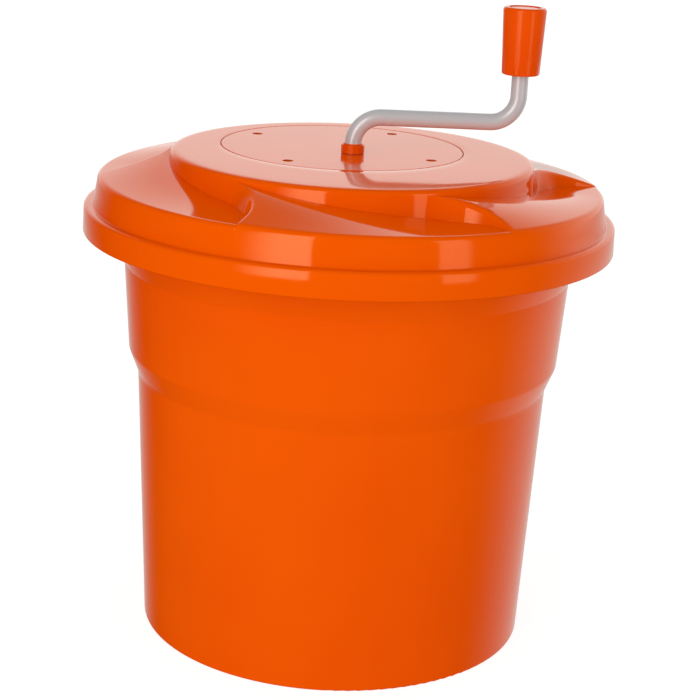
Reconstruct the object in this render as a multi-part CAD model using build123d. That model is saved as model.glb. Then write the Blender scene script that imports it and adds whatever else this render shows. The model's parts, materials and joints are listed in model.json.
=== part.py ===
from build123d import *
import math
import os

os.makedirs("parts", exist_ok=True)

# A large hand-cranked salad spinner. Millimetres, +Z up, origin on the floor at
# the bucket's centre. The crank turns about the same axis; its arm points along +X,
# turned by crank_rest_turn.

# Bucket
bucket_height = 350.6
base_radius = 160.0
lower_taper = 9.0
step_out = 7.7
step_rise = 20.0
step_drop = 114.6
upper_taper = 4.8
neck_drop = 42.6
flare_out = 14.5
flare_rise = 36.0
rim_overhang = 14.5
rim_lip = 12.0
bucket_wall = 3.2
bucket_floor = 4.0
foot_rounding = 3.0

# Pivot under the basket
pedestal_foot_radius = 34.0
pedestal_top_radius = 13.0
pedestal_height = 36.0
pivot_radius = 4.0
pivot_stand = 16.0
pivot_depth = 14.0
pivot_end_gap = 0.1

# Basket
basket_floor_height = 34.0
basket_gap = 8.5
basket_top_drop = 14.6
basket_taper = 11.0
basket_wall = 2.6
basket_rim_width = 5.0
basket_floor_wall = 3.0
bearing_wall = 6.0
bearing_lift = 5.0
bearing_roof = 4.0
hub_wall = 3.5
slot_width = 5.0
slot_length = 42.0
slot_columns = 30
slot_rows = 4
floor_slots = 24
floor_slot_length = 34.0

# Lid
lid_wall = 3.0
skirt_gap = 1.5
seat_gap = 0.3
skirt_drop = 21.1
ledge_width = 7.5
band_height = 23.1
band_draft = 3.5
shelf_width = 57.5
shelf_rise = 18.0
platform_edge_rise = 4.0
platform_edge_width = 3.0
platform_edge_rounding = 7.0
cover_radius = 99.5
cover_shift = 26.9
cover_direction = 109.0
blade_count = 6
blade_curve = 50.0
blade_tip_turn = 6.5
blade_flat_turn = 11.0
pocket_overrun = 10.0

# Gear cover and gear well
cover_wall = 3.0
cover_gap = 0.4
cover_seat = 6.7
cover_boss = 5.8
screw_count = 4
screw_border = 9.8
screw_turn = 60.0
screw_shank_radius = 1.75
screw_head_radius = 4.0
screw_head_height = 2.0
screw_sink = 1.2
post_radius = 5.5

# Gears
gear_module = 1.5
crank_teeth = 39
pinion_teeth = 13
wheel_teeth = 26
pressure_angle = math.radians(25)
addendum_share = 0.85
dedendum_share = 1.25
tooth_play = 0.16
gear_face = 9.0
gear_hub_wall = 6.5
gear_rim_wall = 5.0
gear_web_depth = 3.5
gear_play = 1.0
washer_height = 1.4
washer_width = 4.0
thrust_gap = 0.1
idler_pin_radius = 4.0

# Crank
crank_rest_turn = 3.0
crank_throw = 131.2
arm_height = 29.7
tube_radius = 6.7
tube_wall = 2.0
bend_radius = 22.0
collar_wall = 2.7
collar_lip = 1.1
collar_height = 7.8
collar_gap = 0.4
collar_facets = 12
collar_facet_share = 1.012
cover_hole_gap = 1.0
running_gap = 0.05
bush_wall = 2.5
bush_boss_wall = 3.6
floor_boss_drop = 8.0
gear_pin_radius = 1.5
gear_pin_drop = 2.2
spigot_height = 5.0
spigot_bush_wall = 1.0

# Knob
knob_lift = 39.2
knob_length = 53.4
knob_foot_radius = 15.1
knob_top_radius = 17.4
knob_facets = 10
knob_foot_facet_share = 0.965
knob_top_facet_share = 1.045
knob_cap_radius = 12.8
knob_cap_height = 3.0
knob_cap_sink = 0.6
knob_mouth_depth = 4.7
knob_bush_wall = 2.0
knob_tube_depth = 35.0
plug_length = 14.0
knob_screw_radius = 2.0
knob_screw_head = 2.6
knob_washer_width = 2.6

# Driver between lid and basket
shaft_radius = 5.0
hex_across = 8.4
spider_hub_radius = 22.0
spider_arms = 4
spider_arm_width = 16.0
spider_arm_height = 9.0
spider_lift = 7.0
finger_depth = 6.0
finger_reach = 14.0
finger_gap = 1.5
lug_depth = 12.0
lug_width = 4.0
lug_height = 20.0
spider_screw_radius = 2.5

# Heights and radii that follow from the sizes above
waist_radius = base_radius + lower_taper
hip_radius = waist_radius + step_out
neck_radius = hip_radius + upper_taper
flare_radius = neck_radius + flare_out
rim_radius = flare_radius + rim_overhang
step_high = bucket_height - step_drop
step_low = step_high - step_rise
neck_height = bucket_height - neck_drop
flare_high = neck_height + flare_rise

ledge_high = bucket_height + seat_gap + lid_wall
skirt_low = ledge_high - skirt_drop
skirt_radius = rim_radius + skirt_gap + lid_wall
band_radius = skirt_radius - ledge_width
shelf_radius = band_radius - band_draft
shelf_high = ledge_high + band_height
platform_radius = shelf_radius - shelf_width
platform_high = shelf_high + shelf_rise
shelf_slope = shelf_rise / shelf_width
shelf_wall_drop = lid_wall * math.hypot(1, shelf_slope)
cover_high = platform_high + platform_edge_rise
well_radius = cover_radius - cover_seat
cover_x = cover_shift * math.cos(math.radians(cover_direction))
cover_y = cover_shift * math.sin(math.radians(cover_direction))

cover_low = cover_high - cover_wall
boss_low = cover_low - cover_boss
gear_high = boss_low - gear_play
gear_low = gear_high - gear_face
wheel_high = gear_low - gear_play
wheel_low = wheel_high - gear_face
well_floor_high = wheel_low - washer_height
well_floor_low = well_floor_high - lid_wall
floor_boss_low = well_floor_low - floor_boss_drop

gear_distance = gear_module * (crank_teeth + pinion_teeth) / 2
idler_x = gear_distance * math.cos(math.radians(cover_direction))
idler_y = gear_distance * math.sin(math.radians(cover_direction))
gear_hub_radius = tube_radius + gear_hub_wall
gear_pin_high = gear_high - gear_pin_drop
arm_high = cover_high + arm_height
knob_x = crank_throw * math.cos(math.radians(crank_rest_turn))
knob_y = crank_throw * math.sin(math.radians(crank_rest_turn))
knob_low = arm_high + knob_lift
knob_high = knob_low + knob_length
tube_low = gear_low + 0.3
tube_bore = tube_radius - tube_wall
spigot_radius = tube_bore - spigot_bush_wall - running_gap
collar_radius = tube_radius + collar_wall
tube_high = knob_low + knob_tube_depth
tube_bush_radius = tube_radius + running_gap + bush_wall
shaft_bush_radius = shaft_radius + running_gap + bush_wall

basket_high = bucket_height - basket_top_drop
pivot_high = pedestal_height + pivot_stand
bearing_radius = pivot_radius + running_gap + bearing_wall
bearing_low = pedestal_height + bearing_lift
bearing_high = pivot_high + bearing_roof
spider_low = basket_high + spider_lift
spider_high = floor_boss_low - 0.5
hub_under = spider_low - 5.0
spider_screw_head = 3.5


def turned(outline):
    """Solid turned about Z from corners of (radius, height, corner rounding)."""
    points = [(radius, height) for radius, height, rounding in outline]
    roundings = [rounding for radius, height, rounding in outline]
    path = FilletPolyline(*points, radius=roundings, close=True)
    return revolve(Plane.XZ * make_face(path), axis=Axis.Z)


def ring(outer, inner, low, high):
    """Plain round tube or washer standing on Z."""
    return turned([(inner, low, 0), (outer, low, 0), (outer, high, 0), (inner, high, 0)])


def rod(radius, low, high):
    """Plain round bar standing on Z."""
    return Pos(0, 0, low) * extrude(Circle(radius), high - low)


def at(x, y, piece):
    """Moves a piece in plan only."""
    return Pos(x, y, 0) * piece


def lower_wall_radius(height):
    """Outside radius of the bucket's lower wall."""
    return base_radius + lower_taper * height / step_low


def basket_radius(height):
    """Outside radius of the basket's wall."""
    foot = lower_wall_radius(basket_floor_height) - bucket_wall - basket_gap
    share = (height - basket_floor_height) / (basket_high - basket_floor_height)
    return foot + basket_taper * share


# Where the driver's fingers and the basket's lugs meet
finger_outer = basket_radius(basket_high) - basket_wall - 4.5
finger_inner = finger_outer - finger_depth


def bucket():
    """Thin shell with a step, a flared neck, a turned-down rim and a pivot pedestal."""
    wall = bucket_wall
    lip = rim_radius - wall
    outline = [
        (pedestal_foot_radius - bucket_floor, 0, 2),
        (base_radius, 0, foot_rounding),
        (waist_radius, step_low, 12),
        (hip_radius, step_high, 9),
        (neck_radius, neck_height, 1.5),
        (flare_radius, flare_high, 4),
        (flare_radius, bucket_height - wall, 2),
        (lip, bucket_height - wall, 1),
        (lip, bucket_height - rim_lip, 0.8),
        (rim_radius, bucket_height - rim_lip, 0.8),
        (rim_radius, bucket_height, 3),
        (flare_radius - wall, bucket_height, 4),
        (flare_radius - wall, flare_high, 6),
        (neck_radius - wall, neck_height, 3),
        (hip_radius - wall, step_high, 12),
        (waist_radius - wall, step_low, 9),
        (base_radius - wall, bucket_floor, 6),
        (pedestal_foot_radius, bucket_floor, 6),
        (pedestal_top_radius, pedestal_height, 1.5),
        (0, pedestal_height, 0),
        (0, pedestal_height - pivot_depth - 4, 0),
        (pedestal_top_radius - 4, pedestal_height - pivot_depth - 4, 0),
    ]
    socket = rod(pivot_radius, pedestal_height - pivot_depth, pedestal_height + 1)
    return turned(outline) - socket


def pivot_pin():
    """Steel pin pressed into the pedestal, with a domed end for the basket to turn on."""
    low = pedestal_height - pivot_depth
    return turned([(0, low, 0), (pivot_radius, low, 0.6), (pivot_radius, pivot_high, 2.4), (0, pivot_high, 0)])


def basket_shell():
    """Turned wall, floor and raised hub of the basket."""
    floor = basket_floor_height
    inside = floor + basket_floor_wall
    foot = basket_radius(floor)
    top = basket_radius(basket_high)
    hub_outer = bearing_radius + hub_wall
    outline = [
        (pedestal_foot_radius + 14, floor, 4),
        (foot, floor, 6),
        (top, basket_high - 3, 0.5),
        (top + basket_rim_width, basket_high - 3, 1),
        (top + basket_rim_width, basket_high, 1),
        (top - basket_wall, basket_high, 1),
        (foot - basket_wall, inside, 4),
        (pedestal_foot_radius + 14, inside, 5),
        (hub_outer, bearing_low + 6, 4),
        (hub_outer, bearing_high + 3, 3),
        (0, bearing_high + 3, 0),
        (0, bearing_high, 0),
        (bearing_radius, bearing_high, 0),
        (bearing_radius, bearing_low, 0),
        (hub_outer + 1, bearing_low, 2),
    ]
    return turned(outline)


def basket_slots():
    """Rounded drain slots through the wall, in rows that are staggered."""
    low = basket_floor_height + 34
    high = basket_high - lug_height - 16
    pitch = (high - low - slot_length) / (slot_rows - 1)
    wall = basket_radius(basket_high)
    slot = Pos(wall - 24, 0, 0) * Rot(0, 90, 0) * extrude(SlotOverall(slot_length, slot_width), 36)
    slots = []
    for row in range(slot_rows):
        middle = low + slot_length / 2 + row * pitch
        for column in range(slot_columns):
            turn = (column + 0.5 * (row % 2)) * 360 / slot_columns
            slots.append(Rot(0, 0, turn) * Pos(0, 0, middle) * slot)
    return slots


def basket_floor_slots():
    """Radial drain slots through the floor, in two rings."""
    outer_end = basket_radius(basket_floor_height) - 14
    inner_start = pedestal_foot_radius + 20
    slot = extrude(SlotOverall(floor_slot_length, slot_width), 20, both=True)
    slots = []
    for number in range(floor_slots):
        turn = number * 360 / floor_slots
        for middle in (outer_end - floor_slot_length / 2, inner_start + floor_slot_length / 2):
            slots.append(Rot(0, 0, turn) * Pos(middle, 0, basket_floor_height) * slot)
    return slots


def basket_lugs():
    """Pairs of ribs inside the rim that the driver's fingers turn against."""
    wall = basket_radius(basket_high - lug_height) - basket_wall
    inner = finger_inner - finger_gap
    depth = wall + 1.2 - inner
    side = spider_arm_width / 2 + finger_gap + lug_width / 2
    lug = Pos(inner + depth / 2, 0, basket_high - lug_height / 2 - 1) * Box(depth, lug_width, lug_height)
    lugs = []
    for number in range(spider_arms):
        turn = 45 + number * 360 / spider_arms
        for offset in (-side, side):
            lugs.append(Rot(0, 0, turn) * Pos(0, offset, 0) * lug)
    return lugs


def basket():
    shell = basket_shell() - basket_slots() - basket_floor_slots()
    return shell + basket_lugs()


def basket_bearing():
    """Plastic cup pressed in the basket's hub, running on the pivot pin."""
    bore = pivot_radius + running_gap
    seat = pivot_high + pivot_end_gap
    return turned(
        [
            (bore, bearing_low, 0.5),
            (bearing_radius, bearing_low, 0.5),
            (bearing_radius, bearing_high, 0),
            (0, bearing_high, 0),
            (0, seat, 0),
            (bore, seat, 0),
        ]
    )


def lid_blank():
    """Lid's outside before the pockets between its blades are cut."""
    edge = platform_radius - platform_edge_width
    return turned(
        [
            (0, skirt_low, 0),
            (skirt_radius, skirt_low, 0.8),
            (skirt_radius - 0.6, ledge_high, 3),
            (band_radius, ledge_high, 0.8),
            (shelf_radius, shelf_high, 4),
            (platform_radius + 1, platform_high, 0),
            (edge, cover_high, platform_edge_rounding),
            (0, cover_high, 0),
        ]
    )


def lid_hollow():
    """Lid's inside before the pockets come through it."""
    shelf_in = shelf_radius - lid_wall
    shelf_in_high = shelf_high + lid_wall * shelf_slope - shelf_wall_drop
    wall_in = platform_radius - lid_wall
    wall_in_high = shelf_in_high + (shelf_in - wall_in) * shelf_slope
    edge = wall_in - platform_edge_width - 2
    return turned(
        [
            (0, skirt_low - 1, 0),
            (skirt_radius - lid_wall, skirt_low - 1, 0),
            (skirt_radius - lid_wall, ledge_high - lid_wall, 1),
            (band_radius - lid_wall, ledge_high - lid_wall, 1),
            (shelf_in, shelf_in_high, 2),
            (wall_in, wall_in_high, 0),
            (edge, cover_high - lid_wall, 3),
            (0, cover_high - lid_wall, 0),
        ]
    )


def pocket_plan(grow):
    """Plan of one pocket: outside the platform, and on one side of the blade at angle 0."""
    far = skirt_radius + 20
    centre_x = math.sqrt((platform_radius + blade_curve) ** 2 - blade_curve**2)
    centre = Vector(centre_x, -blade_curve)
    swing = math.atan2(-blade_curve, centre_x)
    bend = blade_curve + grow
    middle_turn = (math.pi / 2 + math.pi + swing) / 2
    middle = centre + Vector(math.cos(middle_turn), math.sin(middle_turn)) * bend
    inner = platform_radius - grow
    end = math.radians(-360 / blade_count - pocket_overrun) + swing
    touch = Vector(math.cos(swing), math.sin(swing)) * inner
    half = Vector(math.cos((swing + end) / 2), math.sin((swing + end) / 2))
    stop = Vector(math.cos(end), math.sin(end))
    rim_x = math.sqrt(far**2 - grow**2)
    blade = Line((rim_x, grow), (centre_x, grow))
    curl = ThreePointArc((centre_x, grow), middle, touch)
    round_platform = ThreePointArc(touch, half * inner, stop * inner)
    edge = Line(stop * inner, stop * far)
    rim = ThreePointArc(stop * far, half * far, (rim_x, grow))
    return make_face([blade, curl, round_platform, edge, rim])


def pocket(grow):
    """Space between two blades: its floor falls from the last blade's height to flat."""
    pitch = 360 / blade_count
    drop = grow / lid_wall * shelf_wall_drop
    merge = math.degrees(math.asin(blade_curve / (platform_radius + blade_curve)))
    high = cover_high + 30
    steps = 6
    sections = []
    for step in range(-1, steps + 3):
        share = step / steps
        inner_turn = math.radians(-pitch - merge + min(share, 1) * (pitch + merge - blade_flat_turn))
        outer_turn = math.radians(-pitch + min(share, 1) * (pitch - blade_flat_turn))
        if step > steps:
            inner_turn += math.radians((step - steps) * blade_flat_turn)
            outer_turn = inner_turn
        low_near = shelf_rise * max(1 - share, 0) - drop
        near = Vector(math.cos(inner_turn), math.sin(inner_turn)) * platform_radius
        far = Vector(math.cos(outer_turn), math.sin(outer_turn)) * shelf_radius
        span = (far - near).length
        fall = -max(1 - share, 0) * shelf_rise / span
        along = (far - near).normalized()
        start = (near.X, near.Y, shelf_high)
        across = Plane(origin=start, x_dir=(along.X, along.Y, 0), z_dir=(along.Y, -along.X, 0))
        corners = [
            (-25, low_near - 25 * fall),
            (span + 30, low_near + (span + 30) * fall),
            (span + 30, high - shelf_high),
            (-25, high - shelf_high),
        ]
        sections.append(across * make_face(Polyline(*corners, close=True)))
    floor = loft(sections)
    plan = Pos(0, 0, skirt_low) * extrude(pocket_plan(grow), high - skirt_low - 1)
    return floor & plan


def pockets(grow):
    """One pocket for each blade, ending at the blades' places round the rim."""
    one = pocket(grow)
    return [Rot(0, 0, blade_tip_turn + number * 360 / blade_count) * one for number in range(blade_count)]


def screw_places():
    """Centres of the cover screws in plan."""
    reach = well_radius - screw_border
    places = []
    for number in range(screw_count):
        turn = math.radians(screw_turn + number * 360 / screw_count)
        places.append((cover_x + reach * math.cos(turn), cover_y + reach * math.sin(turn)))
    return places


def lid():
    """Moulded lid with swirling blades and a round gear well under the cover."""
    shell = lid_blank() - pockets(0) - (lid_hollow() - pockets(lid_wall))
    cup = rod(well_radius + lid_wall, well_floor_low, cover_low - 0.5)
    seat = rod(cover_radius + lid_wall, cover_low - lid_wall, cover_high - 1)
    idler_boss = at(idler_x, idler_y, rod(idler_pin_radius + bush_boss_wall, floor_boss_low, well_floor_high))
    shaft_boss = rod(shaft_bush_radius + bush_boss_wall, floor_boss_low, well_floor_high)
    body = shell + at(cover_x, cover_y, cup + seat) + idler_boss + shaft_boss
    body -= at(cover_x, cover_y, rod(well_radius, well_floor_high, cover_high + 1))
    body -= at(cover_x, cover_y, rod(cover_radius, cover_low, cover_high + 1))
    post_high = cover_low - cover_wall
    for x, y in screw_places():
        body += at(x, y, rod(post_radius, well_floor_high - 1, post_high))
        body -= at(x, y, rod(screw_shank_radius, well_floor_high + 4, post_high + 1))
    body -= at(idler_x, idler_y, rod(idler_pin_radius, floor_boss_low - 1, well_floor_high + 1))
    body -= rod(shaft_bush_radius, floor_boss_low - 1, well_floor_high + 1)
    return body


def gear_cover():
    """Round cover over the gear well, with a bush boss for the crank and one for the idler's pin."""
    radius = cover_radius - cover_gap
    disc = turned([(0, cover_low, 0), (radius, cover_low, 0), (radius, cover_high, 0.6), (0, cover_high, 0)])
    body = at(cover_x, cover_y, disc)
    body += rod(tube_bush_radius + bush_boss_wall, boss_low, cover_low)
    body += at(idler_x, idler_y, rod(idler_pin_radius + bush_boss_wall, boss_low, cover_low))
    body -= rod(tube_bush_radius, boss_low - 1, cover_high - 1)
    body -= rod(tube_radius + cover_hole_gap, boss_low - 1, cover_high + 1)
    body -= at(idler_x, idler_y, rod(idler_pin_radius, boss_low - 1, cover_low))
    sink = screw_sink + screw_head_height
    for x, y in screw_places():
        body += at(x, y, rod(post_radius + 1, cover_low - cover_wall, cover_low))
        body -= at(x, y, rod(screw_shank_radius + 0.25, cover_low - cover_wall - 1, cover_high))
        body -= at(x, y, rod(screw_head_radius + 0.4, cover_high - sink, cover_high + 1))
    return body


def cover_screws():
    """Pan-head screws that hold the cover, sunk into it."""
    head_high = cover_high - screw_sink
    head_low = head_high - screw_head_height
    tip = well_floor_high + 5
    screw = turned(
        [
            (0, tip, 0),
            (screw_shank_radius, tip + 2, 0),
            (screw_shank_radius, head_low, 0),
            (screw_head_radius, head_low, 0),
            (screw_head_radius, head_high, 0.8),
            (0, head_high, 0),
        ]
    )
    slot = Pos(0, 0, head_high) * (Box(4.6, 1.0, 2.0) + Box(1.0, 4.6, 2.0))
    screw -= slot
    return Compound(children=[at(x, y, screw) for x, y in screw_places()])


def crank_bush():
    """Plain bearing for the crank tube in the cover."""
    return ring(tube_bush_radius, tube_radius + running_gap, boss_low, cover_high - 1)


def spigot_bush():
    """Plain bearing pressed in the tube's lower end, running on the drive shaft's spigot."""
    return ring(tube_bore, spigot_radius + running_gap, tube_low, gear_low + spigot_height - 0.2)


def shaft_bush():
    """Plain bearing for the drive shaft, in the well floor."""
    return ring(shaft_bush_radius, shaft_radius + running_gap, floor_boss_low, well_floor_high)


def spur_gear(teeth, low, high):
    """Involute spur gear standing on Z with one tooth pointing along +X."""
    pitch_radius = gear_module * teeth / 2
    involute_base = pitch_radius * math.cos(pressure_angle)
    tip_radius = pitch_radius + addendum_share * gear_module
    root_radius = pitch_radius - dedendum_share * gear_module
    flank_start = max(involute_base, root_radius)
    half_tooth = math.pi / (2 * teeth) - tooth_play / (2 * pitch_radius)
    pitch_roll = math.tan(pressure_angle) - pressure_angle

    def flank_turn(radius):
        roll = math.acos(involute_base / radius)
        return half_tooth + pitch_roll - (math.tan(roll) - roll)

    def polar(radius, turn):
        return (radius * math.cos(turn), radius * math.sin(turn))

    sides = []
    for number in range(teeth):
        middle = number * 2 * math.pi / teeth
        radii = [flank_start + (tip_radius - flank_start) * step / 4 for step in range(5)]
        rising = [polar(radius, middle - flank_turn(radius)) for radius in radii]
        falling = [polar(radius, middle + flank_turn(radius)) for radius in reversed(radii)]
        foot_turn = flank_turn(flank_start)
        next_foot = middle + 2 * math.pi / teeth - foot_turn
        gap_middle = middle + math.pi / teeth
        if root_radius < flank_start:
            sides.append(Line(polar(root_radius, middle - foot_turn), rising[0]))
        sides.append(Spline(*rising))
        sides.append(ThreePointArc(rising[-1], polar(tip_radius, middle), falling[0]))
        sides.append(Spline(*falling))
        if root_radius < flank_start:
            sides.append(Line(falling[-1], polar(root_radius, middle + foot_turn)))
        start = polar(root_radius, middle + foot_turn)
        sides.append(ThreePointArc(start, polar(root_radius, gap_middle), polar(root_radius, next_foot)))
    return Pos(0, 0, low) * extrude(make_face(sides), high - low)


def gear_pin_hole():
    """Straight cross hole through the crank gear's hub and the tube."""
    hole = Rot(0, 90, 0) * extrude(Circle(gear_pin_radius), gear_hub_radius + 1, both=True)
    return Pos(0, 0, gear_pin_high) * Rot(0, 0, crank_rest_turn) * hole


def crank_gear():
    """Large gear on the crank tube; one tooth points at the idler."""
    gear = spur_gear(crank_teeth, gear_low, gear_high)
    rim = gear_module * crank_teeth / 2 - gear_rim_wall
    gear -= ring(rim, gear_hub_radius + 2, gear_high - gear_web_depth, gear_high + 1)
    gear -= rod(tube_radius, gear_low - 1, gear_high + 1)
    return Rot(0, 0, cover_direction) * gear - gear_pin_hole()


def idler_gears():
    """Small and large gear in one piece; the small one meshes with the crank's gear."""
    gap_turn = cover_direction + 180 + 180 / pinion_teeth
    small = Rot(0, 0, gap_turn) * spur_gear(pinion_teeth, wheel_high - 0.5, gear_high)
    large = Rot(0, 0, cover_direction + 180) * spur_gear(wheel_teeth, wheel_low, wheel_high)
    bore = rod(idler_pin_radius + running_gap, wheel_low - 1, gear_high + 1)
    return at(idler_x, idler_y, small + large - bore)


def idler_pin():
    """Fixed pin that the idler turns on, held in the well floor and the cover."""
    return at(idler_x, idler_y, rod(idler_pin_radius, floor_boss_low + 1, cover_low))


def idler_washer():
    """Thrust washer under the idler."""
    bore = idler_pin_radius + running_gap
    washer = ring(idler_pin_radius + washer_width, bore, well_floor_high + thrust_gap, wheel_low)
    return at(idler_x, idler_y, washer)


def drive_gear():
    """Gear pressed on the drive shaft; one gap points at the idler."""
    gear = spur_gear(wheel_teeth, wheel_low, wheel_high)
    rim = gear_module * wheel_teeth / 2 - gear_rim_wall
    gear -= ring(rim, shaft_radius + gear_rim_wall, wheel_high - gear_web_depth, wheel_high + 1)
    gear -= rod(shaft_radius, wheel_low - 1, wheel_high + 1)
    return Rot(0, 0, cover_direction + 180 / wheel_teeth) * gear


def gear_pin():
    """Cross pin through the crank gear's hub and the tube."""
    pin = Rot(0, 90, 0) * extrude(Circle(gear_pin_radius), gear_hub_radius - 0.5, both=True)
    return Pos(0, 0, gear_pin_high) * Rot(0, 0, crank_rest_turn) * pin


def crank_washer():
    """Thrust washer between the crank gear and the cover's boss."""
    return ring(tube_radius + washer_width, tube_radius, gear_high, boss_low - thrust_gap)


def shaft_washer():
    """Thrust washer under the drive gear."""
    return ring(shaft_radius + washer_width, shaft_radius, well_floor_high + thrust_gap, wheel_low)


def crank_tube():
    """Round tube bent twice: down into the gear well, along, and up into the knob."""
    corners = [
        (0, 0, tube_low),
        (0, 0, arm_high),
        (knob_x, knob_y, arm_high),
        (knob_x, knob_y, tube_high),
    ]
    path = FilletPolyline(*corners, radius=bend_radius)
    start = Plane(origin=corners[0], x_dir=(1, 0, 0), z_dir=(0, 0, 1))
    tube = sweep(start * (Circle(tube_radius) - Circle(tube_bore)), path=path)
    return tube - gear_pin_hole()


def crank_collar():
    """Lightly faceted collar on the tube, just above the cover."""
    low = cover_high + collar_gap
    high = low + collar_height
    body = turned(
        [
            (tube_radius, low, 0),
            (collar_radius, low, 0.4),
            (collar_radius, high - 1, 0.5),
            (tube_radius + collar_lip, high - 1, 0),
            (tube_radius + collar_lip, high, 0.3),
            (tube_radius, high, 0),
        ]
    )
    outline = RegularPolygon(collar_radius * collar_facet_share, collar_facets)
    facets = Pos(0, 0, low - 1) * extrude(outline, collar_height + 2)
    return Rot(0, 0, crank_rest_turn) * (body & facets)


def tube_plug():
    """Threaded plug pressed in the tube's upper end for the knob screw."""
    bore = rod(knob_screw_radius, tube_high - plug_length + 2, tube_high + 1)
    return at(knob_x, knob_y, rod(tube_bore, tube_high - plug_length, tube_high) - bore)


def knob():
    """Tapered grip whose shallow facets fade out towards the top."""
    bore = tube_radius + running_gap + knob_bush_wall
    cap_low = knob_high - knob_cap_sink - knob_cap_height
    body = turned(
        [
            (0, knob_low, 0),
            (knob_foot_radius, knob_low, 1.6),
            (knob_top_radius, knob_high, 2.4),
            (0, knob_high, 0),
        ]
    )
    half = math.pi / knob_facets
    foot = knob_foot_radius * knob_foot_facet_share / math.cos(half)
    top = knob_top_radius * knob_top_facet_share / math.cos(half)
    facets = loft(
        [
            Pos(0, 0, knob_low - 0.01) * RegularPolygon(foot, knob_facets),
            Pos(0, 0, knob_high + 0.01) * RegularPolygon(top, knob_facets),
        ],
        ruled=True,
    )
    body = body & facets
    body -= rod(bore + 1.2, knob_low - 1, knob_low + knob_mouth_depth)
    body -= rod(bore, knob_low + knob_mouth_depth - 1, tube_high)
    body -= rod(bore + 2.2, tube_high - 0.2, cap_low + 1)
    body -= rod(knob_cap_radius, cap_low, knob_high + 1)
    return at(knob_x, knob_y, body)


def knob_cap():
    """Round cap pressed into the knob's top, with a fine ring groove."""
    high = knob_high - knob_cap_sink
    low = high - knob_cap_height
    body = turned(
        [
            (0, low, 0),
            (knob_cap_radius, low, 0),
            (knob_cap_radius, high, 0.5),
            (knob_cap_radius - 1.6, high, 0),
            (knob_cap_radius - 1.6, high - 0.4, 0),
            (knob_cap_radius - 2.4, high - 0.4, 0),
            (knob_cap_radius - 2.4, high, 0),
            (0, high, 0),
        ]
    )
    return at(knob_x, knob_y, body)


def knob_bush():
    """Plain bearing pressed in the knob, running on the tube."""
    outer = tube_radius + running_gap + knob_bush_wall
    bush = ring(outer, tube_radius + running_gap, knob_low + knob_mouth_depth, tube_high - 0.2)
    return at(knob_x, knob_y, bush)


def knob_washer():
    """Washer on the tube's end that keeps the knob on."""
    outer = tube_radius + knob_washer_width
    return at(knob_x, knob_y, ring(outer, knob_screw_radius, tube_high, tube_high + washer_height))


def knob_screw():
    """Screw through the washer into the tube's plug."""
    head_low = tube_high + washer_height
    screw = turned(
        [
            (0, tube_high - plug_length + 3, 0),
            (knob_screw_radius, tube_high - plug_length + 3, 0),
            (knob_screw_radius, head_low, 0),
            (knob_screw_radius * 2, head_low, 0),
            (knob_screw_radius * 2, head_low + knob_screw_head, 0.8),
            (0, head_low + knob_screw_head, 0),
        ]
    )
    socket = Pos(0, 0, head_low + 1.2) * extrude(RegularPolygon(1.7, 6), 2)
    return at(knob_x, knob_y, screw - socket)


def drive_shaft():
    """Round shaft with a spigot above, a hexagonal lower end and a tapped hole for the screw."""
    round_part = rod(shaft_radius, spider_high, wheel_high + 0.5)
    round_part += rod(spigot_radius, wheel_high, gear_low + spigot_height)
    hexagon = extrude(RegularPolygon(hex_across / math.sqrt(3), 6), spider_high - hub_under)
    hole = rod(spider_screw_radius, hub_under - 1, hub_under + 14)
    return round_part + Pos(0, 0, hub_under) * hexagon - hole


def drive_spider():
    """Four arms that reach from the shaft to the basket's rim, with fingers pointing down."""
    hub = turned(
        [
            (0, hub_under, 0),
            (spider_hub_radius - 3, hub_under, 2),
            (spider_hub_radius, spider_low + 3, 2),
            (shaft_radius + 4.5, spider_high, 2),
            (0, spider_high, 0),
        ]
    )
    reach = finger_outer - spider_hub_radius + 6
    start = spider_hub_radius - 6
    arm = Pos(start + reach / 2, 0, spider_low + spider_arm_height / 2) * Box(
        reach, spider_arm_width, spider_arm_height
    )
    groove = Pos(start + reach / 2 + 2, 0, spider_low + spider_arm_height) * Box(
        reach - 28, spider_arm_width - 5, spider_arm_height - 2
    )
    finger = Pos((finger_inner + finger_outer) / 2, 0, spider_low - finger_reach / 2 - 3) * Box(
        finger_depth, spider_arm_width, finger_reach + 6.5
    )
    for number in range(spider_arms):
        hub += Rot(0, 0, 45 + number * 360 / spider_arms) * (arm - groove + finger)
    hexagon = extrude(RegularPolygon(hex_across / math.sqrt(3), 6), spider_high - hub_under + 2)
    return hub - Pos(0, 0, hub_under - 1) * hexagon


def spider_washer():
    """Washer under the driver's hub."""
    return ring(9.0, spider_screw_radius, hub_under - washer_height, hub_under)


def spider_screw():
    """Screw that holds the driver on the shaft."""
    head_high = hub_under - washer_height
    return turned(
        [
            (0, head_high - spider_screw_head, 0),
            (spider_screw_radius * 1.8, head_high - spider_screw_head, 1),
            (spider_screw_radius * 1.8, head_high, 0),
            (spider_screw_radius, head_high, 0),
            (spider_screw_radius, hub_under + 13, 0),
            (0, hub_under + 13, 0),
        ]
    )


nodes = [
    bucket,
    pivot_pin,
    basket,
    basket_bearing,
    lid,
    gear_cover,
    cover_screws,
    crank_bush,
    shaft_bush,
    spigot_bush,
    idler_pin,
    crank_gear,
    idler_gears,
    idler_washer,
    drive_gear,
    gear_pin,
    crank_washer,
    shaft_washer,
    crank_tube,
    crank_collar,
    tube_plug,
    knob,
    knob_cap,
    knob_bush,
    knob_washer,
    knob_screw,
    drive_shaft,
    drive_spider,
    spider_washer,
    spider_screw,
]

for node in nodes:
    export_step(node(), "parts/" + node.__name__ + ".step")
    print(node.__name__)
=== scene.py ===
import bpy
import bmesh
import json
import math
from mathutils import Matrix, Vector


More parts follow.
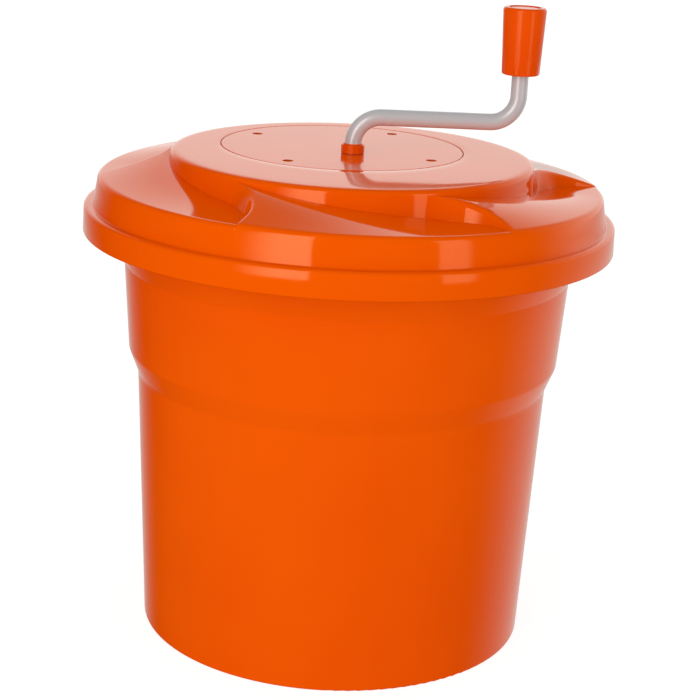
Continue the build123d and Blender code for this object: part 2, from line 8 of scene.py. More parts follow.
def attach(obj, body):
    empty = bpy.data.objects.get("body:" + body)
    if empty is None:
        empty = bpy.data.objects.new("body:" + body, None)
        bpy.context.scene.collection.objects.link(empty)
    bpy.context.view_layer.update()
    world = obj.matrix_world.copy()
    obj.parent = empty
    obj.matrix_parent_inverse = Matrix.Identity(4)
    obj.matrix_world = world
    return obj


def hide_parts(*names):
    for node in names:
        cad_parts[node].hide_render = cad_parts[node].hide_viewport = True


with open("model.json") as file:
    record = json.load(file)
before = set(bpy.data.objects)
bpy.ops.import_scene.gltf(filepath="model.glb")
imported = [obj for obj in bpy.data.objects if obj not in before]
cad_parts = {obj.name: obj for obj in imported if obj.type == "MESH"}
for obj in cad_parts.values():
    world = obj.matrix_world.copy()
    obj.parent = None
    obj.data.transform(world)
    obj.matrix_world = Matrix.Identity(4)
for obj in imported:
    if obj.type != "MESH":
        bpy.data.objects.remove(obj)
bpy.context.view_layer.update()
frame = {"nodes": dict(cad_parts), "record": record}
scene = bpy.context.scene
scene.view_settings.view_transform = "Standard"
scene.view_settings.look = "None"
print("frame loaded")


def mm(value):
    return value / 1000.0


def linearColour(code):
    # sRGB hex to the linear numbers that shaders use
    parts = [int(code[i:i + 2], 16) / 255 for i in (1, 3, 5)]
    return tuple([p / 12.92 if p <= 0.04045 else ((p + 0.055) / 1.055) ** 2.4 for p in parts] + [1.0])


camera = {
    "distance": 1.4921,
    "height": 0.6755,
    "pitch": 16.51,   # degrees below level
    "yaw": 0.23,
    "roll": 2.90,
    "lens": 96.2,     # millimetres, on a 36 mm wide sensor
    "sensor": 36,
    "farClip": 30,
}


def placeCamera():
    data = bpy.data.cameras.new("camera")
    data.lens = camera["lens"]
    data.sensor_width = camera["sensor"]
    data.clip_end = camera["farClip"]
    view = bpy.data.objects.new("camera", data)
    turn = Matrix.Rotation(math.radians(-camera["yaw"]), 4, "Z")
    tip = Matrix.Rotation(math.radians(90 - camera["pitch"]), 4, "X")
    roll = Matrix.Rotation(math.radians(camera["roll"]), 4, "Z")
    place = Matrix.Translation((0, -camera["distance"], camera["height"]))
    view.matrix_world = place @ turn @ tip @ roll
    scene.collection.objects.link(view)
    scene.camera = view


placeCamera()
print("camera placed")


def deselectAll():
    if bpy.context.object and bpy.context.object.mode != "OBJECT":
        bpy.ops.object.mode_set(mode="OBJECT")
    bpy.ops.object.select_all(action="DESELECT")


def pick(piece):
    deselectAll()
    piece.select_set(True)
    bpy.context.view_layer.objects.active = piece


def joinInto(name, pieces):
    deselectAll()
    for piece in pieces:
        piece.select_set(True)
    bpy.context.view_layer.objects.active = pieces[0]
    bpy.ops.object.join()
    whole = bpy.context.object
    whole.name = name
    whole.data.name = name
    return whole


def weld(piece, gap):
    pick(piece)
    bpy.ops.object.mode_set(mode="EDIT")
    bpy.ops.mesh.select_all(action="SELECT")
    bpy.ops.mesh.remove_doubles(threshold=gap)
    bpy.ops.object.mode_set(mode="OBJECT")


def layGrid(name, columns, rows, place):
    # a flat grid whose points are then carried to their places, as a sheet is laid over a mould
    deselectAll()
    bpy.ops.mesh.primitive_grid_add(x_subdivisions=columns, y_subdivisions=rows, size=2, location=(0, 0, 0))
    sheet = bpy.context.object
    sheet.name = name
    for point in sheet.data.vertices:
        column = round((point.co.x + 1) / 2 * columns)
        row = round((point.co.y + 1) / 2 * rows)
        x, y, z = place(column, row)
        point.co = (mm(x), mm(y), mm(z))
    return sheet


def repeatRound(piece, count):
    copies = [piece]
    for number in range(1, count):
        copy = piece.copy()
        copy.data = piece.data.copy()
        copy.data.transform(Matrix.Rotation(number * 2 * math.pi / count, 4, "Z"))
        scene.collection.objects.link(copy)
        copies.append(copy)
    return copies


# The blades, their walls and the hollows between them are one flowing surface with soft crests,
# which edit-mode tools can't give, so each patch of a sixth of the lid is a grid laid to its curves.
lid = {
    "blades": 6,
    "tipTurn": 6.5,          # degrees, where the first blade's tip meets the rim
    "curl": 50.0,            # millimetres from here on
    "platform": 146.5,
    "platformRound": 7.0,
    "platformHigh": 399.0,
    "coverHole": 99.5,       # the gear cover's recess, off centre like the gears below it
    "coverShift": 26.9,
    "coverDirection": 109.0,
    "coverSeat": 396.0,
    "holeLip": [(0.8, 0.0), (0.4, 0.08), (0.12, 0.32), (0.0, 0.7)],   # its rounded edge, out and down
    "shelf": 204.0,
    "shelfHigh": 377.0,
    "shelfSlope": 18.0 / 57.5,
    "rimRound": 4.0,
    "flatTurn": 11.0,        # degrees before the wall where the hollow's floor is level
    "flatSoftness": 0.07,    # share of the hollow's turn over which the floor eases into its slope
    "crestRound": 3.6,
    "crestStart": 4.0,       # how far past the platform the crest's rounding is full
    "backShare": 0.35,       # the rounding's most, as a share of the room behind it
    "rimShare": 0.5,         # as a share of the room out to the rim
    "wallShare": 0.45,       # as a share of the wall's height
    "edgeInset": 0.35,       # how far the platform's corner stands inside the wall
    "wallDraft": 5.0,        # degrees
    "curlDraft": 20.0,
    "leanGain": 2.2,         # how soon along the curl the wall has its full lean
    "stations": (48, 34, 10),   # mesh columns round the platform, round the curl and out to the tip
    "tipCrowding": 0.8,
    "roundRows": 7,
    "wallRows": 4,
    "platformRows": 6,
    "smoothAngle": 32.0,     # degrees
    "outline": [             # radius and height down the band, ledge and skirt
        (204.0, 373.0), (205.6, 364.0), (207.3, 355.0), (207.5, 354.4), (208.1, 353.95), (209.5, 353.9),
        (211.6, 353.88), (212.9, 353.55), (213.8, 352.9), (214.35, 351.9), (214.5, 350.6), (214.7, 344.0),
        (215.0, 333.7), (214.8, 333.15), (214.2, 332.8),
    ],
}


def polar(radius, turn):
    return Vector((radius * math.cos(turn), radius * math.sin(turn)))


def lidCurves():
    # the crest of one blade, from where it leaves the last blade to its own tip at turn 0
    reach = math.sqrt((lid["platform"] + lid["curl"]) ** 2 - lid["curl"] ** 2)
    middle = Vector((reach, -lid["curl"]))
    swing = math.atan2(middle.y, middle.x)
    pitch = 2 * math.pi / lid["blades"]
    around, curling, straight = lid["stations"]
    crest = []
    for step in range(around + 1):
        turn = swing - pitch + pitch * step / around
        crest.append((polar(lid["platform"], turn), polar(1, turn), 0.0))
    first = swing + math.pi
    for step in range(1, curling + 1):
        turn = first + (math.pi / 2 - first) * step / curling
        crest.append((middle + polar(lid["curl"], turn), -polar(1, turn), step / curling))
    for step in range(1, straight + 1):
        share = (step / straight) ** lid["tipCrowding"]
        crest.append((Vector((reach + (lid["shelf"] - reach) * share, 0)), Vector((0, -1)), 1.0))
    return crest, around, middle, swing, pitch


crest, aroundCount, curlMiddle, swing, pitch = lidCurves()


def crestTurn(radius):
    # turn of the blade's own crest at a radius, its tip being at 0
    far = curlMiddle.length
    if radius >= curlMiddle.x:
        return 0.0
    radius = max(radius, lid["platform"])
    cosine = (radius**2 + far**2 - lid["curl"] ** 2) / (2 * radius * far)
    return swing + math.acos(max(-1, min(1, cosine)))


def coneHeight(radius):
    return lid["shelfHigh"] + (lid["shelf"] - radius) * lid["shelfSlope"]


def hollowHeight(x, y):
    radius = math.hypot(x, y)
    turn = math.atan2(y, x)
    flat = -math.radians(lid["flatTurn"])
    start = crestTurn(radius) - pitch
    share = (flat - turn) / (flat - start)
    soft = lid["flatSoftness"]
    if share < -soft:
        share = 0.0
    elif share < soft:
        share = (share + soft) ** 2 / (4 * soft)
    share = min(share, 1.0)
    return lid["shelfHigh"] + (lid["shelf"] - radius) * lid["shelfSlope"] * share


def turned2d(point, turn):
    c, s = math.cos(turn), math.sin(turn)
    return Vector((point.x * c - point.y * s, point.x * s + point.y * c))


def smoothStep(value):
    value = max(0.0, min(1.0, value))
    return value * value * (3 - 2 * value)


def between(first, last, share):
    return tuple(a + (b - a) * share for a, b in zip(first, last))


def rounded(first, corner, last, share):
    return between(between(first, corner, share), between(corner, last, share), share)


def rimFall(radius):
    start = lid["shelf"] - lid["rimRound"]
    over = min(max(radius - start, 0.0), lid["rimRound"])
    return lid["rimRound"] - math.sqrt(lid["rimRound"] ** 2 - over**2)


def crestSections():
    # at each station: where the crest's rounding starts, its corner, where it ends, and the wall's foot
    sections = []
    platform = lid["platform"]
    for number, (point, out, share) in enumerate(crest):
        radius = point.length
        if number <= aroundCount:
            inner = polar(platform - lid["platformRound"], math.atan2(point.y, point.x))
            corner = point * ((platform - lid["edgeInset"]) / platform)
            top = (inner.x, inner.y, lid["platformHigh"])
            edge = (corner.x, corner.y, lid["platformHigh"])
            last = (point.x, point.y, coneHeight(platform))
            draft = math.tan(math.radians(lid["wallDraft"]))
        if number >= aroundCount:
            more = smoothStep(share * lid["leanGain"])
            lean = lid["wallDraft"] + (lid["curlDraft"] - lid["wallDraft"]) * more
            draft = math.tan(math.radians(lean))
        foot = point.copy()
        for settling in range(4):   # the foot's height depends on its place, so it is found in a few steps
            high = hollowHeight(foot.x, foot.y)
            foot = point + out * max(coneHeight(radius) - high, 0) * draft
        footHigh = hollowHeight(foot.x, foot.y)
        wall = max(coneHeight(radius) - footHigh, 0)
        if number <= aroundCount:
            sections.append((top, edge, last, (foot.x, foot.y, footHigh)))
        if number >= aroundCount:
            gap = radius - platform
            back = min(lid["crestRound"], lid["backShare"] * gap, lid["rimShare"] * (lid["shelf"] - radius))
            down = min(lid["crestRound"], lid["wallShare"] * wall) * smoothStep(gap / lid["crestStart"])
            inner = point - out * back
            nextSide = turned2d(inner, -pitch)
            innerHigh = hollowHeight(nextSide.x, nextSide.y)
            ends = point + out * down * draft
            top = (inner.x, inner.y, innerHigh)
            edge = (point.x, point.y, coneHeight(radius))
            last = (ends.x, ends.y, coneHeight(radius) - down)
            sections.append((top, edge, last, (foot.x, foot.y, footHigh)))
    return sections


sections = crestSections()
aroundSections = sections[:aroundCount + 1]
curlSections = sections[aroundCount + 1:]
feet = [s[3] for s in aroundSections] + [s[3] for s in curlSections[1:]]
backs = []
for top, edge, last, foot in curlSections:
    flat = turned2d(Vector((top[0], top[1])), -pitch)
    backs.append((flat.x, flat.y))


def lengthShares(points):
    reach = [0.0]
    for a, b in zip(points, points[1:]):
        reach.append(reach[-1] + math.hypot(b[0] - a[0], b[1] - a[1]))
    return [r / reach[-1] for r in reach]


footShares = lengthShares(feet)
backShares = lengthShares(backs)
rimTurns = [-pitch + pitch * share for share in footShares]


def settle(x, y, z):
    return x, y, z - rimFall(math.hypot(x, y))


def sectionPoint(rows):
    def place(column, row):
        top, edge, last, foot = rows[column]
        bend = lid["roundRows"]
        if row <= bend:
            return settle(*rounded(top, edge, last, row / bend))
        return settle(*between(last, foot, (row - bend) / lid["wallRows"]))
    return place


def hollowPoint(column, row):
    u, v = footShares[column], backShares[row]
    rim = polar(lid["shelf"], rimTurns[column])
    foot, back = feet[column], backs[row]
    start, end = backs[0], backs[-1]
    spot = []
    for axis in (0, 1):
        across = (1 - v) * foot[axis] + v * rim[axis]
        spot.append(across + (1 - u) * (back[axis] - (1 - v) * start[axis] - v * end[axis]))
    if row == 0:
        return settle(*foot)
    if column == 0:
        top = curlSections[row][0]
        return settle(back[0], back[1], top[2])
    return settle(spot[0], spot[1], hollowHeight(spot[0], spot[1]))


def outlinePoint(column, row):
    radius, high = lid["outline"][row]
    spot = polar(radius, rimTurns[column])
    return spot.x, spot.y, high


def platformPoint(column, row):
    # from the platform's edge in to the off-centre recess, and down its wall
    turn = math.radians(lid["tipTurn"]) + swing - pitch + pitch * column / aroundCount
    hole, lip, rows = lid["coverHole"], lid["holeLip"], lid["platformRows"]
    middle = polar(lid["coverShift"], math.radians(lid["coverDirection"]))
    outside = polar(lid["platform"] - lid["platformRound"], turn)
    inside = middle + polar(hole + lip[0][0], turn)
    if row <= rows:
        spot = outside + (inside - outside) * (row / rows)
        return spot.x, spot.y, lid["platformHigh"]
    steps = lip[1:] + [(0.0, lid["platformHigh"] - lid["coverSeat"])]
    reach, drop = steps[row - rows - 1]
    spot = middle + polar(hole + reach, turn)
    return spot.x, spot.y, lid["platformHigh"] - drop


def lidSkin():
    sectionRows = lid["roundRows"] + lid["wallRows"]
    parts = [
        layGrid("bladeWall", aroundCount, sectionRows, sectionPoint(aroundSections)),
        layGrid("curlWall", len(curlSections) - 1, sectionRows, sectionPoint(curlSections)),
        layGrid("hollow", len(feet) - 1, len(backs) - 1, hollowPoint),
        layGrid("band", len(feet) - 1, len(lid["outline"]) - 1, outlinePoint),
    ]
    sixth = joinInto("lidSixth", parts)
    sixth.data.transform(Matrix.Rotation(math.radians(lid["tipTurn"]), 4, "Z"))
    platformRows = lid["platformRows"] + len(lid["holeLip"])
    platform = layGrid("platform", aroundCount * lid["blades"], platformRows, platformPoint)
    skin = joinInto("lidSkin", repeatRound(sixth, lid["blades"]) + [platform])
    weld(skin, mm(0.02))
    bpy.ops.object.mode_set(mode="EDIT")
    bpy.ops.mesh.select_all(action="SELECT")
    bpy.ops.mesh.dissolve_degenerate(threshold=mm(0.01))
    bpy.ops.mesh.select_all(action="SELECT")
    bpy.ops.mesh.normals_make_consistent(inside=False)
    bpy.ops.object.mode_set(mode="OBJECT")
    rise = sum(face.normal.z * face.area for face in skin.data.polygons)
    if rise < 0:
        skin.data.flip_normals()
    return skin


def lidUnderside():
    # the moulding's inside stays as it is; only the outer skin is taken off the copy
    node = frame["nodes"]["lid"]
    inside = node.copy()
    inside.data = node.data.copy()
    for key in list(inside.keys()):
        if key.startswith("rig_"):
            del inside[key]
    inside.parent = None
    inside.name = "lidInside"
    scene.collection.objects.link(inside)
    weld(inside, mm(0.005))
    middle = polar(mm(lid["coverShift"]), math.radians(lid["coverDirection"]))
    holeReach = mm(lid["coverHole"] + 0.03)
    skirtFoot = mm(lid["outline"][-1][1] + 0.05)
    if inside.data.has_custom_normals:
        bpy.ops.mesh.customdata_custom_splitnormals_clear()
    form = bmesh.new()
    form.from_mesh(inside.data)
    form.faces.ensure_lookup_table()

    def outer(face):
        centre = face.calc_center_median()
        return math.hypot(centre.x - middle.x, centre.y - middle.y) > holeReach and centre.z > skirtFoot

    def farOut(face):
        # an upright face at the greatest X is on the skirt's outside
        upright = abs(face.normal.z) < 0.1
        return (face.calc_center_median().x if upright else 0) * face.calc_area() ** 0.01

    start = max(form.faces, key=farOut)
    skin, edgeOn = {start}, [start]
    while edgeOn:
        face = edgeOn.pop()
        for edge in face.edges:
            for other in edge.link_faces:
                if other not in skin and outer(other):
                    skin.add(other)
                    edgeOn.append(other)
    print("lid skin faces taken off:", len(skin), "of", len(form.faces))
    bmesh.ops.delete(form, geom=list(skin), context="FACES")
    form.to_mesh(inside.data)
    form.free()
    return inside


def makeLid():
    whole = joinInto("lidMoulding", [lidSkin(), lidUnderside()])
    weld(whole, mm(0.03))
    pick(whole)
    bpy.ops.object.shade_smooth_by_angle(angle=math.radians(lid["smoothAngle"]))
    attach(whole, "lid_body")
    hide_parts("lid")
    return whole


lidPiece = makeLid()
print("lid made:", len(lidPiece.data.polygons), "faces")


def addNode(tree, kind, place, settings=None, links=None):
    node = tree.nodes.new(kind)
    node.location = place
    for name, value in (settings or {}).items():
        if isinstance(name, int) or name in node.inputs:
            node.inputs[name].default_value = value
        else:
            setattr(node, name, value)
    for name, source in (links or {}).items():
        tree.links.new(source, node.inputs[name])
    return node


def startMaterial(name):
    material = bpy.data.materials.new(name)
    material.use_nodes = True
    tree = material.node_tree
    tree.nodes.clear()
    out = addNode(tree, "ShaderNodeOutputMaterial", (700, 0))
    coords = addNode(tree, "ShaderNodeTexCoord", (-1100, 0))
    return material, tree, out, coords.outputs["Object"]


plastics = {
    # cloud is the pigment's slow drift, in noise cells to a metre;
    # ripple is how deep the skin's waves are, in millimetres
    # injection-moulded polypropylene: deep even pigment, a wet gloss from the polished tool
    "bucket": {
        "name": "moulded polypropylene orange", "colour": "#F95E00", "deep": "#F45600", "ior": 1.42,
        "cloud": 5.0, "roughness": (0.08, 0.14), "ripple": 0.02, "skin": "#FFE2B4",
    },
    # moulded SAN blend on the lid: the same pigment under a harder, glossier skin
    "lid": {
        "name": "moulded SAN orange gloss", "colour": "#F95E00", "deep": "#F45600", "ior": 1.5,
        "cloud": 4.0, "roughness": (0.05, 0.09), "ripple": 0.012, "skin": "#FFE2B4",
    },
    # the lid's compound on the gear cover, hazed where it is wiped: patches of softer gloss
    "cover": {
        "name": "moulded SAN orange wiped", "colour": "#F95E00", "deep": "#F45600", "ior": 1.5,
        "cloud": 11.0, "roughness": (0.05, 0.17), "ripple": 0.012, "skin": "#FFE2B4",
    },
    # moulded polyamide on the knob and collar: satin, with finer drift
    "small": {
        "name": "moulded polyamide orange satin", "colour": "#F55600", "deep": "#EF4E00", "ior": 1.4,
        "cloud": 14.0, "roughness": (0.12, 0.18), "ripple": 0.01, "skin": "#FFE2B4",
    },
    # unpigmented polypropylene on the basket and driver: milky, and a little light goes into it
    "natural": {
        "name": "natural polypropylene", "colour": "#E9E8E1", "deep": "#DDDCD4", "ior": 1.49,
        "cloud": 6.0, "roughness": (0.28, 0.4), "ripple": 0.02, "skin": "#FFFFFF", "milkiness": 0.15,
    },
    # machined acetal on the gears and bushes: denser white, with an even satin
    "acetal": {
        "name": "machined acetal white", "colour": "#F1F0EC", "deep": "#E8E6E0", "ior": 1.48,
        "cloud": 10.0, "roughness": (0.22, 0.3), "ripple": 0.008, "skin": "#FFFFFF",
    },
}
plasticSkin = {
    "handling": 38.0,      # noise cells to a metre: patches left by hands and cloths
    "waves": 24.0,         # noise cells to a metre: the moulding's slow ripples
    "milkDepth": 4.0,      # millimetres
}


def mouldedPlastic(key):
    values = plastics[key]
    rough = values["roughness"]
    material, tree, out, place = startMaterial(values["name"])
    cloud = addNode(tree, "ShaderNodeTexNoise", (-850, 250), {
        "Scale": values["cloud"], "Detail": 3.0,
    }, {"Vector": place})
    spread = addNode(tree, "ShaderNodeMapRange", (-600, 250), {
        "From Min": 0.35, "From Max": 0.65,
    }, {"Value": cloud.outputs["Fac"]})
    tint = addNode(tree, "ShaderNodeMix", (-350, 250), {
        "data_type": "RGBA", 6: linearColour(values["colour"]), 7: linearColour(values["deep"]),
    }, {0: spread.outputs[0]})
    handled = addNode(tree, "ShaderNodeTexNoise", (-850, -50), {
        "Scale": plasticSkin["handling"], "Detail": 6.0, "Roughness": 0.65,
    }, {"Vector": place})
    gloss = addNode(tree, "ShaderNodeMapRange", (-350, -50), {
        "To Min": rough[0], "To Max": rough[1],
    }, {"Value": handled.outputs["Fac"]})
    wave = addNode(tree, "ShaderNodeTexNoise", (-850, -350), {
        "Scale": plasticSkin["waves"], "Detail": 1.5,
    }, {"Vector": place})
    relief = addNode(tree, "ShaderNodeBump", (-100, -350), {
        "Strength": 1.0, "Distance": mm(values["ripple"]),
    }, {"Height": wave.outputs["Fac"]})
    # the pigment near the skin warms what the plastic mirrors
    settings = {"IOR": values["ior"], "Specular Tint": linearColour(values["skin"])}
    if "milkiness" in values:
        settings["Subsurface Weight"] = values["milkiness"]
        settings["Subsurface Scale"] = mm(plasticSkin["milkDepth"])
    shader = addNode(tree, "ShaderNodeBsdfPrincipled", (350, 0), settings, {
        "Base Color": tint.outputs[2], "Roughness": gloss.outputs[0], "Normal": relief.outputs[0],
    })
    tree.links.new(shader.outputs[0], out.inputs["Surface"])
    return material, tree, shader, relief, place


coverMarks = {
    # faint circles left by the tool's pads: centre and radius in millimetres, and how strongly they show
    "circles": [(9.1, -37.8, 16.1, 1.0), (-17.0, 69.5, 22.0, 0.5)],
    "lineWidth": 0.55,
    "depth": 0.05,
}


def makeCoverPlastic():
    material, tree, shader, relief, place = mouldedPlastic("cover")
    flat = addNode(tree, "ShaderNodeVectorMath", (-850, -600), {
        "operation": "MULTIPLY", 1: (1, 1, 0),
    }, {0: place})
    lines = []
    for number, (x, y, radius, share) in enumerate(coverMarks["circles"]):
        low = -600 - 200 * number
        away = addNode(tree, "ShaderNodeVectorMath", (-650, low), {
            "operation": "DISTANCE", 1: (mm(x), mm(y), 0),
        }, {0: flat.outputs[0]})
        off = addNode(tree, "ShaderNodeMath", (-500, low), {
            "operation": "SUBTRACT", 1: mm(radius),
        }, {0: away.outputs["Value"]})
        near = addNode(tree, "ShaderNodeMath", (-400, low), {"operation": "ABSOLUTE"}, {0: off.outputs[0]})
        line = addNode(tree, "ShaderNodeMapRange", (-300, low), {
            "interpolation_type": "SMOOTHSTEP", "From Min": 0.0, "From Max": mm(coverMarks["lineWidth"]),
            "To Min": share, "To Max": 0.0,
        }, {"Value": near.outputs[0]})
        lines.append(line.outputs[0])
    marks = addNode(tree, "ShaderNodeMath", (-150, -600), {"operation": "ADD"}, {0: lines[0], 1: lines[1]})
    groove = addNode(tree, "ShaderNodeBump", (100, -500), {
        "Strength": 1.0, "Distance": mm(coverMarks["depth"]), "invert": True,
    }, {"Height": marks.outputs[0], "Normal": relief.outputs[0]})
    tree.links.new(groove.outputs[0], shader.inputs["Normal"])
    return material


metals = {
    # grain is in noise cells to a metre, and depth in millimetres
    # satin anodised aluminium: etched matt before anodising, so highlights are broad and grey
    "anodised": {
        "name": "satin anodised aluminium", "colour": "#DCDEE6", "metallic": 0.25,
        "roughness": (0.3, 0.4), "grain": 900.0, "depth": 0.004,
    },
    # turned stainless steel: bright, with fine tool marks that break the highlight up
    "stainless": {
        "name": "turned stainless steel", "colour": "#BDBCB8", "metallic": 1.0,
        "roughness": (0.2, 0.3), "grain": 400.0, "depth": 0.003,
    },
    # blackened steel screws: dark and dry, with a dull glint
    "black": {
        "name": "blackened steel", "colour": "#4A4845", "metallic": 1.0,
        "roughness": (0.35, 0.5), "grain": 600.0, "depth": 0.004,
    },
}


def metal(key):
    values = metals[key]
    rough = values["roughness"]
    material, tree, out, place = startMaterial(values["name"])
    fine = addNode(tree, "ShaderNodeTexNoise", (-700, 0), {
        "Scale": values["grain"], "Detail": 4.0, "Roughness": 0.7,
    }, {"Vector": place})
    gloss = addNode(tree, "ShaderNodeMapRange", (-350, 0), {
        "To Min": rough[0], "To Max": rough[1],
    }, {"Value": fine.outputs["Fac"]})
    relief = addNode(tree, "ShaderNodeBump", (-100, -250), {
        "Strength": 1.0, "Distance": mm(values["depth"]),
    }, {"Height": fine.outputs["Fac"]})
    shader = addNode(tree, "ShaderNodeBsdfPrincipled", (350, 0), {
        "Metallic": values["metallic"], "Base Color": linearColour(values["colour"]),
    }, {"Roughness": gloss.outputs[0], "Normal": relief.outputs[0]})
    tree.links.new(shader.outputs[0], out.inputs["Surface"])
    return material


coverOrange = makeCoverPlastic()
finishes = {
    "orange_bucket": mouldedPlastic("bucket")[0],
    "orange_lid": mouldedPlastic("lid")[0],
    "orange_small": mouldedPlastic("small")[0],
    "white_plastic": mouldedPlastic("natural")[0],
    "acetal": mouldedPlastic("acetal")[0],
    "aluminium_tube": metal("anodised"),
    "steel": metal("stainless"),
    "dark_steel": metal("black"),
}


def finishNodes():
    slots = {part["node"]: part["material_slot"] for part in frame["record"]["subparts"]}
    for name, node in frame["nodes"].items():
        node.data.materials.clear()
        node.data.materials.append(coverOrange if name == "gear_cover" else finishes[slots[name]])
    lidPiece.data.materials.clear()
    lidPiece.data.materials.append(finishes["orange_lid"])
    for face in lidPiece.data.polygons:
        face.material_index = 0


finishNodes()
print("materials set")


studioFloor = {
    "across": 14.0,         # metres
    "paint": "#A6A6A6",
    "roughness": 0.9,
    "seenGlow": 0.84,       # as a lit white sweep looks from above
    "castGlow": 0.44,       # what it throws back up at the bucket
}


def makeFloor():
    deselectAll()
    bpy.ops.mesh.primitive_plane_add(size=studioFloor["across"], location=(0, 0, 0))
    floor = bpy.context.object
    floor.name = "floor"
    material, tree, out, place = startMaterial("white floor")
    path = addNode(tree, "ShaderNodeLightPath", (-300, 0))
    glow = addNode(tree, "ShaderNodeMix", (0, 0), {
        "data_type": "FLOAT", 2: studioFloor["castGlow"], 3: studioFloor["seenGlow"],
    }, {0: path.outputs["Is Camera Ray"]})
    shader = addNode(tree, "ShaderNodeBsdfPrincipled", (350, 0), {
        "Base Color": linearColour(studioFloor["paint"]), "Roughness": studioFloor["roughness"],
        "Specular IOR Level": 0.0, "Emission Color": (1, 1, 1, 1),
    }, {"Emission Strength": glow.outputs[0]})
    tree.links.new(shader.outputs[0], out.inputs["Surface"])
    floor.data.materials.append(material)
    floor.visible_glossy = False
    return floor


lights = {
    # turn is in degrees from the camera, right being positive; distances and sizes are in metres;
    # softLeft and softRight are the shares of the width over which each side fades
    "leftWindow": {
        "turn": -30.5, "distance": 2.2, "low": 0.0, "high": 1.9, "width": 1.3,
        "radiance": 3.7, "colour": "#FFF8EC", "softLeft": 0.62, "softRight": 0.04,
    },
    "rightWindow": {
        "turn": 45.5, "distance": 2.2, "low": 0.0, "high": 1.6, "width": 0.66,
        "radiance": 1.9, "colour": "#FFF8EC", "softLeft": 0.1, "softRight": 0.3,
    },
}


def makeLights():
    for name, box in lights.items():
        high = box["high"] - box["low"]
        data = bpy.data.lights.new(name, "AREA")
        data.shape = "RECTANGLE"
        data.size = box["width"]
        data.size_y = high
        data.energy = box["radiance"] * math.pi * box["width"] * high
        data.color = linearColour(box["colour"])[:3]
        data.use_nodes = True
        tree = data.node_tree
        tree.nodes.clear()
        # the diffuser is dimmer towards its sides, so its mirror image has soft ends
        out = addNode(tree, "ShaderNodeOutputLight", (600, 0))
        spot = addNode(tree, "ShaderNodeNewGeometry", (-600, 0))
        split = addNode(tree, "ShaderNodeSeparateXYZ", (-400, 0), {}, {
            "Vector": spot.outputs["Parametric"],
        })
        left = addNode(tree, "ShaderNodeMapRange", (-150, 150), {
            "interpolation_type": "SMOOTHSTEP", "From Min": 0.0, "From Max": box["softLeft"],
        }, {"Value": split.outputs["X"]})
        right = addNode(tree, "ShaderNodeMapRange", (-150, -150), {
            "interpolation_type": "SMOOTHSTEP", "From Min": 1.0, "From Max": 1.0 - box["softRight"],
        }, {"Value": split.outputs["X"]})
        both = addNode(tree, "ShaderNodeMath", (100, 0), {"operation": "MULTIPLY"}, {
            0: left.outputs[0], 1: right.outputs[0],
        })
        glow = addNode(tree, "ShaderNodeEmission", (350, 0), {}, {"Strength": both.outputs[0]})
        tree.links.new(glow.outputs[0], out.inputs["Surface"])
        lamp = bpy.data.objects.new(name, data)
        turn = math.radians(box["turn"])
        reach = box["distance"]
        place = Vector((reach * math.sin(turn), -reach * math.cos(turn), (box["low"] + box["high"]) / 2))
        lamp.location = place
        lamp.rotation_euler = (Vector((0, 0, place.z)) - place).to_track_quat("-Z", "Y").to_euler()
        scene.collection.objects.link(lamp)


surround = {
    # brightness of the studio round the object: even for soft light, and as mirrors see it
    "ambient": 0.54,
    "backBright": 1.2,
    "overhead": 0.14,
    "belowBack": 0.6,
    "backTurn": 21.0,            # degrees, how far the bright back wall stands round to the right
    "wallTop": (0.33, 0.8),      # the sine of the height over which the back wall fades to the ceiling
    "wallFoot": (-0.1, 0.02),
    "wallSides": (0.26, 0.88),   # the cosine of the turn over which the back wall fades at its sides
    "warmth": (1.0, 0.97, 0.92, 1),
}


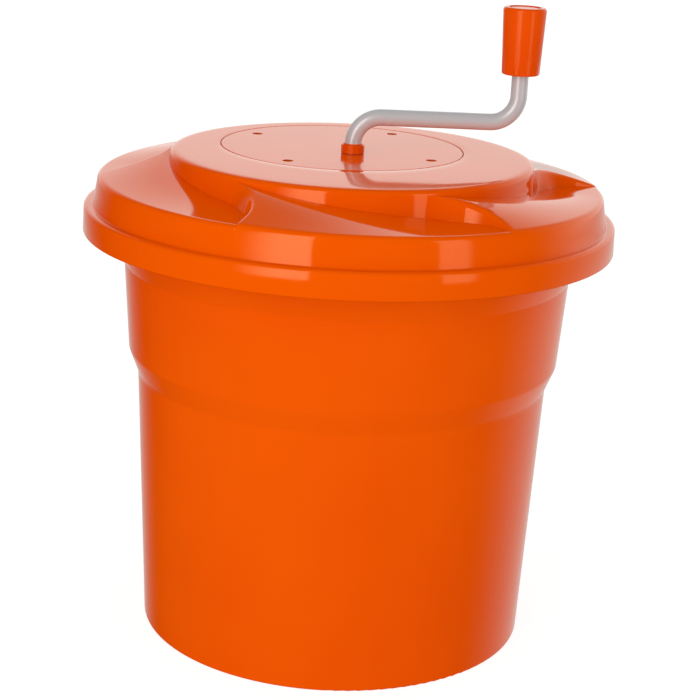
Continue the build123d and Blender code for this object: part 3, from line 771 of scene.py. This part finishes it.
def makeSurround():
    world = bpy.data.worlds.new("studio")
    world.use_nodes = True
    tree = world.node_tree
    tree.nodes.clear()
    out = addNode(tree, "ShaderNodeOutputWorld", (900, 0))
    coords = addNode(tree, "ShaderNodeTexCoord", (-1000, 0))
    split = addNode(tree, "ShaderNodeSeparateXYZ", (-800, 0), {}, {"Vector": coords.outputs["Generated"]})
    smooth = "SMOOTHSTEP"
    upper = addNode(tree, "ShaderNodeMapRange", (-550, 200), {
        "interpolation_type": smooth,
        "From Min": surround["wallTop"][0], "From Max": surround["wallTop"][1],
        "To Min": surround["backBright"], "To Max": surround["overhead"],
    }, {"Value": split.outputs["Z"]})
    lower = addNode(tree, "ShaderNodeMapRange", (-550, -50), {
        "interpolation_type": smooth,
        "From Min": surround["wallFoot"][0], "From Max": surround["wallFoot"][1],
        "To Min": surround["belowBack"], "To Max": 1.0,
    }, {"Value": split.outputs["Z"]})
    turn = math.radians(surround["backTurn"])
    facing = addNode(tree, "ShaderNodeVectorMath", (-800, -300), {
        "operation": "DOT_PRODUCT", 1: (math.sin(turn), math.cos(turn), 0),
    }, {0: coords.outputs["Generated"]})
    behind = addNode(tree, "ShaderNodeMapRange", (-550, -300), {
        "interpolation_type": smooth,
        "From Min": surround["wallSides"][0], "From Max": surround["wallSides"][1],
    }, {"Value": facing.outputs["Value"]})
    wall = addNode(tree, "ShaderNodeMath", (-300, 100), {"operation": "MULTIPLY"}, {
        0: upper.outputs[0], 1: lower.outputs[0],
    })
    mirrored = addNode(tree, "ShaderNodeMath", (-100, 0), {"operation": "MULTIPLY"}, {
        0: wall.outputs[0], 1: behind.outputs[0],
    })
    path = addNode(tree, "ShaderNodeLightPath", (-300, 500))
    seen = addNode(tree, "ShaderNodeMix", (150, 150), {"data_type": "FLOAT", 3: surround["ambient"]}, {
        0: path.outputs["Is Diffuse Ray"], 2: mirrored.outputs[0],
    })
    strength = addNode(tree, "ShaderNodeMix", (350, 250), {"data_type": "FLOAT", 3: 1.0}, {
        0: path.outputs["Is Camera Ray"], 2: seen.outputs[0],
    })
    warm = addNode(tree, "ShaderNodeMix", (350, -100), {
        "data_type": "RGBA", 6: surround["warmth"], 7: (1, 1, 1, 1),
    }, {0: path.outputs["Is Camera Ray"]})
    back = addNode(tree, "ShaderNodeBackground", (600, 0), {}, {
        "Color": warm.outputs[2], "Strength": strength.outputs[0],
    })
    tree.links.new(back.outputs[0], out.inputs["Surface"])
    scene.world = world


makeFloor()
makeLights()
makeSurround()
print("studio set")
